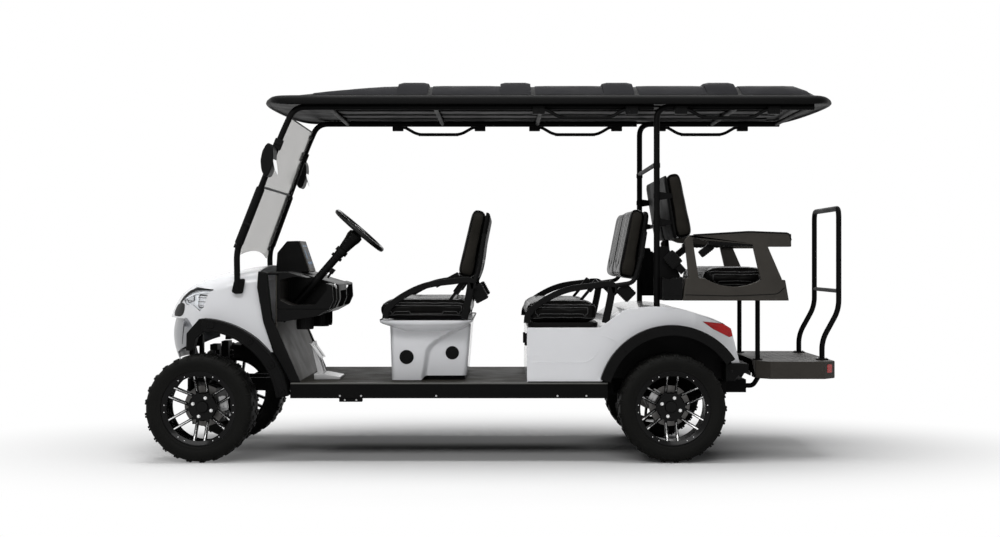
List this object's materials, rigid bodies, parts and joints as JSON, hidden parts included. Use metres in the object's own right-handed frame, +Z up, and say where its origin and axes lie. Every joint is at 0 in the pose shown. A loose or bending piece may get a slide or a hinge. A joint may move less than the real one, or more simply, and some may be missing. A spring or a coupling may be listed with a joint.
{
  "type": "six-seat golf cart",
  "caption": "Lifted electric golf cart: two forward benches, rear-facing bench over a step, full roof, split windscreen, off-road tyres, steering and rolling wheels.",
  "frame": {"origin": "on the floor, under the middle of the whole cart", "axes": "+X to the nose, +Y to the cart's left, +Z up"},
  "size_m": [3.67, 1.4398, 2],
  "materials": {
    "body_white": "white gloss moulding",
    "nose_silver": "silver grey satin moulding",
    "frame_black": "black powder coat",
    "plastic_black": "black grained plastic",
    "plastic_taupe": "dark grey brown grained plastic",
    "roof_black": "black satin moulding",
    "seat_black": "black leatherette",
    "floor_rubber": "black ribbed mat",
    "tyre": "tyre rubber",
    "rim_black": "black alloy with machined edges",
    "steel_grey": "grey steel",
    "lamp_clear": "clear lamp lens",
    "lamp_red": "red lamp lens",
    "screen_tint": "grey tinted acrylic",
    "battery_grey": "dark battery case"
  },
  "bodies": {
    "chassis": {"ladder_frame": "frame_black", "front_subframe": "frame_black", "side_sills": "frame_black", "floor_deck": "floor_rubber", "front_cowl": "body_white", "headlamps": "lamp_clear", "grille": "plastic_black", "nose_fascia": "nose_silver", "front_flares": "plastic_black", "cowl_trim": "plastic_black", "firewall": "plastic_taupe", "dashboard": "plastic_black", "cup_shelf": "plastic_black", "steering_column": "plastic_black", "pedals": "steel_grey", "rear_body": "body_white", "tail_lamps": "lamp_red", "rear_flares": "plastic_black", "rear_bumper": "plastic_black", "battery_pack": "battery_grey", "front_seat_pod": "body_white", "front_seat_cushion": "seat_black", "front_seat_backs": "seat_black", "front_seat_rails": "frame_black", "middle_seat_backs": "seat_black", "middle_seat_rails": "frame_black", "rear_seat_tub": "plastic_taupe", "rear_seat_cushion": "seat_black", "rear_seat_backs": "seat_black", "rear_frame": "frame_black", "step_platform": "plastic_black", "rear_tubes": "frame_black", "grab_bar": "frame_black", "roof_canopy": "roof_black", "roof_rails": "frame_black", "roof_handles": "plastic_black", "front_pillars": "frame_black", "windscreen": "screen_tint", "mirrors": "plastic_black", "wishbones": "frame_black", "spring_dampers": "steel_grey", "rear_axle": "steel_grey", "leaf_springs": "frame_black"},
    "knuckle_left": {"knuckle_left": "steel_grey"},
    "knuckle_right": {"knuckle_right": "steel_grey"},
    "tie_rod": {"tie_rod": "steel_grey"},
    "steering_wheel": {"steering_wheel": "plastic_black"},
    "middle_seat_lid": {"middle_seat_board": "plastic_black", "middle_seat_cushion": "seat_black"},
    "wheel_front_left": {"rim_front_left": "rim_black", "tyre_front_left": "tyre"},
    "wheel_front_right": {"rim_front_right": "rim_black", "tyre_front_right": "tyre"},
    "wheel_rear_left": {"rim_rear_left": "rim_black", "tyre_rear_left": "tyre"},
    "wheel_rear_right": {"rim_rear_right": "rim_black", "tyre_rear_right": "tyre"}
  },
  "joints": [
    {"name": "steer_left", "type": "hinge", "parent": "chassis", "child": "knuckle_left", "pos_m": [1.555, 0.44, 0.28], "axis": [0, 0, 1], "range_deg": [-30, 30]},
    {"name": "steer_right", "type": "hinge", "parent": "chassis", "child": "knuckle_right", "pos_m": [1.555, -0.44, 0.28], "axis": [0, 0, 1], "range_deg": [-30, 30]},
    {"name": "tie_rod_slide", "type": "slide", "parent": "chassis", "child": "tie_rod", "axis": [0, 1, 0], "range_m": [-0.058, 0.058]},
    {"name": "steering_wheel_turn", "type": "hinge", "parent": "chassis", "child": "steering_wheel", "pos_m": [0.757, 0.28, 1.207], "axis": [-0.6561, 0, 0.7547], "range_deg": [-361, 361]},
    {"name": "middle_seat_lift", "type": "hinge", "parent": "chassis", "child": "middle_seat_lid", "pos_m": [-0.515, 0, 0.709], "axis": [0, -1, 0], "range_deg": [0, 50]},
    {"name": "spin_front_left", "type": "hinge", "parent": "knuckle_left", "child": "wheel_front_left", "pos_m": [1.555, 0.528, 0.28], "axis": [0, 1, 0], "continuous": true},
    {"name": "spin_front_right", "type": "hinge", "parent": "knuckle_right", "child": "wheel_front_right", "pos_m": [1.555, -0.528, 0.28], "axis": [0, 1, 0], "continuous": true},
    {"name": "spin_rear_left", "type": "hinge", "parent": "chassis", "child": "wheel_rear_left", "pos_m": [-0.895, 0.528, 0.28], "axis": [0, 1, 0], "continuous": true},
    {"name": "spin_rear_right", "type": "hinge", "parent": "chassis", "child": "wheel_rear_right", "pos_m": [-0.895, -0.528, 0.28], "axis": [0, 1, 0], "continuous": true}
  ],
  "couplings": [
    {"joint": "steer_right", "follows": "steer_left", "ratio": 1},
    {"joint": "tie_rod_slide", "follows": "steer_left", "m_per_rad": -0.11},
    {"joint": "steering_wheel_turn", "follows": "steer_left", "ratio": 12}
  ]
}
